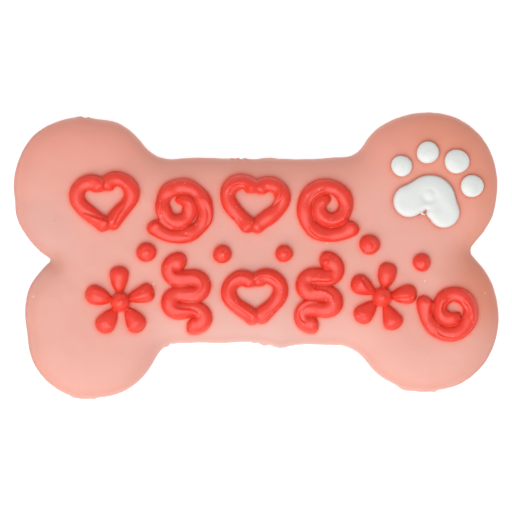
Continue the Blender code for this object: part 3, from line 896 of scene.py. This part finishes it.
def pad_height(points, edge):
    """The pad's top: a domed edge, a horseshoe ridge round the notch, a nub and a hollow.

    The edge is a fourth root of what is left of 1 after a power of the way still to go. The
    ridge is a bell of the distance from an oval round the notch, the nub and the ring round it
    are bells of the distance from its middle, with a spiral on them, and the hollow is a bell.
    """
    inset = nearest_gap(points, edge)
    share = 1 - np.clip(inset / PAD_REACH, 0, 1)
    dome = PAD_HEIGHT * (1 - share**2.8) ** (1 / 4)
    x, y = points[..., 0] / MM, points[..., 1] / MM
    bend = np.hypot((x - 0.5) * 0.95, (y + 3.4) * 0.86)
    ridge = 0.2 * np.exp(-(((bend - 5.4) / 1.9) ** 2)) * smooth_step(y, -7, -1)
    away = np.hypot(x - 0.6, y - 1.1)
    angle = np.arctan2(y - 1.1, x - 0.6)
    twist = 0.05 * np.cos(angle - 1.6 * away + 1.0) * np.exp(-((away / 2.2) ** 2))
    nub = 0.1 * np.exp(-((away / 0.9) ** 2)) - 0.15 * np.exp(-(((away - 1.9) / 0.9) ** 2))
    hollow = -0.18 * np.exp(-(((x + 0.5) / 1.5) ** 2) - ((y + 1.3) / 1.8) ** 2)
    inside = smooth_step(inset, 0.4 * MM, 2.4 * MM)
    return dome + (ridge + twist + nub + hollow) * MM * inside


def pad_grid():
    """The pad: rings set in from its outline up the side, then straight in to its middle."""
    edge, normals = rounded_outline(PAD_ROUNDS, PAD_FILLETS, 0.2 * MM)
    edge = edge + normals * swelling(edge, PAD_SWELLS)[:, None]
    insets = np.array((2.4, 0.7, 0.3, 0.06, 0.0, 0.06)) * MM
    levels = np.array((0.0, 0.0, 0.08, 0.3, 0.6, 0.9)) * MM
    side = edge - normals * insets[:, None, None]
    start = side[-1]
    inward = np.linspace(0, 1, 44)[1:, None, None]
    top = start + (np.array(PAD_MIDDLE) - start) * inward
    sides = np.repeat(levels[:, None], len(edge), axis=1)
    tops = np.maximum(pad_height(top, edge), levels[-1] + 0.05 * MM)
    plans, heights = np.concatenate((side, top)), np.concatenate((sides, tops))
    grid = closed_ends(np.concatenate((plans, heights[..., None]), axis=-1))
    grid[0, :, :2] = PAD_MIDDLE
    return grid


def crumb_grid(place, radius, seed):
    """A crumb of icing: a ball whose radius wavers with its direction."""
    turn = np.linspace(0, math.tau, 16, endpoint=False)
    tilt = np.linspace(0.15, math.pi - 0.15, 9)[:, None]
    ball = (np.sin(tilt) * np.cos(turn), np.sin(tilt) * np.sin(turn), -np.cos(tilt) + 0 * turn)
    ball = np.stack(ball, axis=-1)
    ball = ball * radius * (1 + 0.2 * waves(ball, 1.6, seed, 5))[..., None]
    return closed_ends(ball + (*place, 0.8 * radius + SINK))


def single_dab(node, place, width, height, seed, material, slot, **shape):
    """One dome of icing laid on the coating."""
    grid = dab(width, height, seed, **shape)
    grid[..., :2] += place
    grid[..., 2] += coating_top(grid) - SINK
    return finished(settle(skinned("icing_" + node, [grid], material)), node, slot)


# Materials


class Value:
    """One output of a shader node, so that shader maths reads as plain expressions."""

    def __init__(self, finish, socket):
        self.finish, self.socket = finish, socket

    def maths(self, operation, first, second):
        """A maths node between two values or numbers."""
        return self.finish.node("Math", {"operation": operation}, {0: first, 1: second})

    def __add__(self, other):
        return self.maths("ADD", self, other)

    def __sub__(self, other):
        return self.maths("SUBTRACT", self, other)

    def __rsub__(self, other):
        return self.maths("SUBTRACT", other, self)

    def __mul__(self, other):
        return self.maths("MULTIPLY", self, other)

    __radd__ = __add__
    __rmul__ = __mul__


class Finish:
    """A material in the making: a Principled surface and the nodes that vary it."""

    def __init__(self, name, **constants):
        self.material = bpy.data.materials.new(name)
        self.material.use_nodes = True
        self.nodes = self.material.node_tree.nodes
        self.links = self.material.node_tree.links
        self.shader = self.nodes["Principled BSDF"]
        self.place = self.node("TexCoord", output="Object")
        for socket, value in constants.items():
            self.shader.inputs[socket.replace("_", " ")].default_value = value

    def node(self, kind, settings=None, values=None, output=0):
        """Adds a node: its settings first, then its sockets' values or links; gives one output."""
        node = self.nodes.new("ShaderNode" + kind)
        for name, setting in (settings or {}).items():
            setattr(node, name, setting)
        for name, value in (values or {}).items():
            self.feed(node.inputs[name], value)
        return Value(self, node.outputs[output])

    def feed(self, socket, value):
        """Links a value into a socket, or sets the socket to a number or colour."""
        if isinstance(value, Value):
            self.links.new(value.socket, socket)
        else:
            socket.default_value = value

    def surface(self, **values):
        """Feeds the Principled surface's own sockets."""
        for name, value in values.items():
            self.feed(self.shader.inputs[name.replace("_", " ")], value)

    def layer(self, name):
        """A value kept on the surface's points."""
        return self.node("Attribute", {"attribute_name": name}, output="Fac")

    def axis(self, name):
        """How far along one axis the surface is."""
        return self.node("SeparateXYZ", None, {"Vector": self.place}, name)

    def distance_from(self, place):
        """How far the surface is from a point."""
        return self.node("VectorMath", {"operation": "DISTANCE"}, {0: self.place, 1: place}, 1)

    def noise(self, size, detail):
        """Soft noise whose blotches are about this size."""
        values = {"Vector": self.place, "Scale": 1 / size, "Detail": detail}
        return self.node("TexNoise", None, values)

    def spots(self, spacing, reach, sharpness=0.6):
        """Round spots about a random grid of points: 1 at a spot's middle, 0 beyond its reach."""
        values = {"Vector": self.place, "Scale": 1 / spacing}
        away = self.node("TexVoronoi", {"feature": "F1"}, values, "Distance")
        return self.ramp(away, reach / spacing, reach * sharpness / spacing)

    def ramp(self, value, low, high):
        """0 at low and 1 at high, smoothly between."""
        values = {0: value, 1: low, 2: high, 3: 0.0, 4: 1.0}
        return self.node("MapRange", {"interpolation_type": "SMOOTHSTEP"}, values)

    def blend(self, factor, first, second):
        """A colour between two colours."""
        values = {0: factor, 6: first, 7: second}
        return self.node("Mix", {"data_type": "RGBA"}, values, 2)

    def bump(self, height, depth):
        """The normal of a relief this deep."""
        return self.node("Bump", None, {"Height": height, "Distance": depth, "Strength": 1.0})


def pink_coating():
    """Set yogurt-like coating: satin, faintly mottled, with pits and stray specks."""
    finish = Finish(
        "pink_coating",
        Subsurface_Weight=0.45,
        Subsurface_Radius=(1.0, 0.3, 0.2),
        Subsurface_Scale=0.0026,
        Specular_IOR_Level=0.7,
    )
    mottle = finish.noise(24 * MM, 3)
    cloud = finish.noise(7 * MM, 2)
    base = finish.blend(mottle, *PINK_TONES)
    base = finish.blend(cloud * 0.35, base, PINK_CLOUD)
    # Painted shade on the upper side
    upper = finish.ramp(finish.axis("Y"), *UPPER_SHADE_FADE)
    base = finish.blend(upper * UPPER_SHADE_SHARE, base, UPPER_SHADE)
    # Painted shade and sheen, patch by patch
    for middle, reach, share, painted_colour in SHADE_AND_SHEEN_PATCHES:
        patch = finish.ramp(finish.distance_from(middle), reach, 0.3 * reach)
        base = finish.blend(patch * share, base, painted_colour)
    # Painted shade on the shoulder at both ends
    height, along = finish.axis("Z"), finish.axis("X")
    shoulder = finish.ramp(height, *SHOULDER_SHADE_START) * finish.ramp(height, *SHOULDER_SHADE_STOP)
    ends = finish.ramp(along * along, *(end**2 for end in SHOULDER_SHADE_ENDS))
    base = finish.blend(shoulder * ends * SHOULDER_SHADE_SHARE, base, SHOULDER_SHADE)
    crumbly = finish.ramp(finish.noise(0.9 * MM, 2), 0.3, 0.52)
    for place in BARE_PLACES:
        bare = finish.ramp(finish.distance_from(place), BARE_REACH, 0.2 * BARE_REACH)
        base = finish.blend(bare * crumbly * BARE_SHARE, base, BARE_BISCUIT)
    # Painted shade round the icing, with a dark contact line
    for name, _, _, share, painted_colour in CONTACT_SHADES:
        base = finish.blend(finish.layer(name) * share, base, painted_colour)
    dark = finish.spots(14 * MM, 0.34 * MM)
    pale = finish.spots(9 * MM, 0.42 * MM)
    base = finish.blend(pale * 0.5, base, PALE_SPECK)
    base = finish.blend(dark * 0.75, base, DARK_SPECK)
    rough = 0.4 + finish.noise(3 * MM, 3) * 0.12
    relief = finish.noise(1.6 * MM, 3) * 0.5 - finish.spots(4.3 * MM, 0.35 * MM) * 0.8
    finish.surface(Base_Color=base, Roughness=rough, Normal=finish.bump(relief, 0.05 * MM))
    return finish.material


def red_icing():
    """Piped coral-red icing: smooth, with stray shiny grains and a fine crinkle in patches."""
    finish = Finish(
        "red_icing",
        Subsurface_Weight=0.9,
        Subsurface_Radius=(1.0, 0.12, 0.08),
        Subsurface_Scale=0.003,
        Specular_IOR_Level=0.55,
        Coat_Weight=0.1,
        Coat_Roughness=0.2,
    )
    mottle = finish.noise(6 * MM, 2)
    base = finish.blend(mottle, *RED_TONES)
    grains_and_glints = finish.spots(2.1 * MM, 0.34 * MM, 0.4)
    # The grains' paler colour is partly painted glints
    base = finish.blend(grains_and_glints * 0.5, base, RED_GRAIN_AND_GLINT)
    patches = finish.ramp(finish.noise(8 * MM, 1), 0.5, 0.66)
    rough = 0.3 + finish.noise(2 * MM, 2) * 0.14 - grains_and_glints * 0.15
    relief = finish.noise(0.45 * MM, 2) * patches + grains_and_glints * 0.9
    finish.surface(Base_Color=base, Roughness=rough, Normal=finish.bump(relief, 0.05 * MM))
    return finish.material


def white_icing():
    """Flooded white icing: smooth and faintly grey-green, mottled."""
    finish = Finish(
        "white_icing",
        Subsurface_Weight=1.0,
        Subsurface_Radius=(1.0, 0.9, 0.8),
        Subsurface_Scale=0.0022,
        Specular_IOR_Level=0.5,
        Coat_Weight=0.15,
        Coat_Roughness=0.2,
    )
    mottle = finish.noise(5 * MM, 2)
    base = finish.blend(mottle, *WHITE_TONES)
    rough = 0.3 + finish.noise(2 * MM, 2) * 0.12
    relief = finish.noise(1.1 * MM, 2) - finish.spots(3.0 * MM, 0.2 * MM)
    finish.surface(Base_Color=base, Roughness=rough, Normal=finish.bump(relief, 0.02 * MM))
    return finish.material


# Stage


def floor():
    """A plain pale floor, a hair below the biscuit's flat underside."""
    bpy.ops.mesh.primitive_plane_add(size=FLOOR_SIZE, location=(0, 0, -FLOOR_DROP))
    plane = bpy.context.object
    plane.name = "floor"
    finish = Finish(
        "floor",
        Roughness=0.9,
        Base_Color=colour(FLOOR_GREY, FLOOR_GREY, FLOOR_GREY),
        Emission_Color=colour(1, 1, 1),
        Emission_Strength=FLOOR_GLOW,
    )
    plane.data.materials.append(finish.material)


def softbox():
    """A large square lamp, aimed at the biscuit."""
    data = bpy.data.lights.new("softbox", "AREA")
    data.size = SOFTBOX_SIZE
    data.energy = SOFTBOX_POWER
    lamp = bpy.data.objects.new("softbox", data)
    lamp.location = SOFTBOX_PLACE
    lamp.rotation_euler = (-Vector(SOFTBOX_PLACE)).to_track_quat("-Z", "Y").to_euler()
    bpy.context.scene.collection.objects.link(lamp)


def camera():
    """Looks straight down from far off, with the photograph's framing.

    Its height is the frame's width times the lens over the sensor, above the belly.
    """
    data = bpy.data.cameras.new("camera")
    data.lens = LENS
    data.sensor_width = SENSOR
    eye = bpy.data.objects.new("camera", data)
    eye.location = (0, -FRAME_DROP, BELLY_HEIGHT + FRAME_WIDTH * LENS / SENSOR)
    bpy.context.scene.collection.objects.link(eye)
    bpy.context.scene.camera = eye


def stage():
    """Floor, camera, an even white surround and the softbox to the lower left."""
    floor()
    camera()
    world = bpy.data.worlds.new("surround")
    world.use_nodes = True
    world.node_tree.nodes["Background"].inputs["Color"].default_value = colour(1, 1, 1)
    world.node_tree.nodes["Background"].inputs["Strength"].default_value = AMBIENT
    bpy.context.scene.world = world
    bpy.context.scene.view_settings.view_transform = "Standard"
    softbox()


stage()
pink, red, white = pink_coating(), red_icing(), white_icing()
for number, (place, turn, size) in enumerate(HEARTS, 1):
    piped(f"piped_heart_{number}", heart_strokes(size, 10 * number), place, turn, red)
for number, (place, turn, size, hand) in enumerate(SWIRLS, 1):
    piped(f"piped_swirl_{number}", swirl_strokes(size, hand, 60 + 10 * number), place, turn, red)
for number, (place, turn, size) in enumerate(BLOSSOMS, 1):
    piped(f"piped_blossom_{number}", blossom_strokes(size, 100 + 10 * number), place, turn, red)
for number, (place, turn, size, hand) in enumerate(RIBBONS, 1):
    strokes = ribbon_strokes(size, hand, 140 + 10 * number)
    piped(f"piped_ribbon_{number}", strokes, place, turn, red)
for number, (place, size) in enumerate(DOTS, 1):
    single_dab(f"piped_dot_{number}", place, size, DOT_HEIGHT, 170 + number, red, "red_icing")
crumbs = [crumb_grid(spot, size, 190 + i) for i, (spot, size) in enumerate(NOTCH_CRUMBS)]
piped("paw_pad", [pad_grid(), *crumbs], PAD_PLACE, 0, white, "white_icing")
for number, (place, size) in enumerate(TOES, 1):
    single_dab(
        f"paw_toe_{number}", place, size, TOE_HEIGHT, 180 + number, white, "white_icing",
        lean=0.05, curl=0.02, peak=0.02, flatness=0.5,
    )
coated_biscuit(pink)
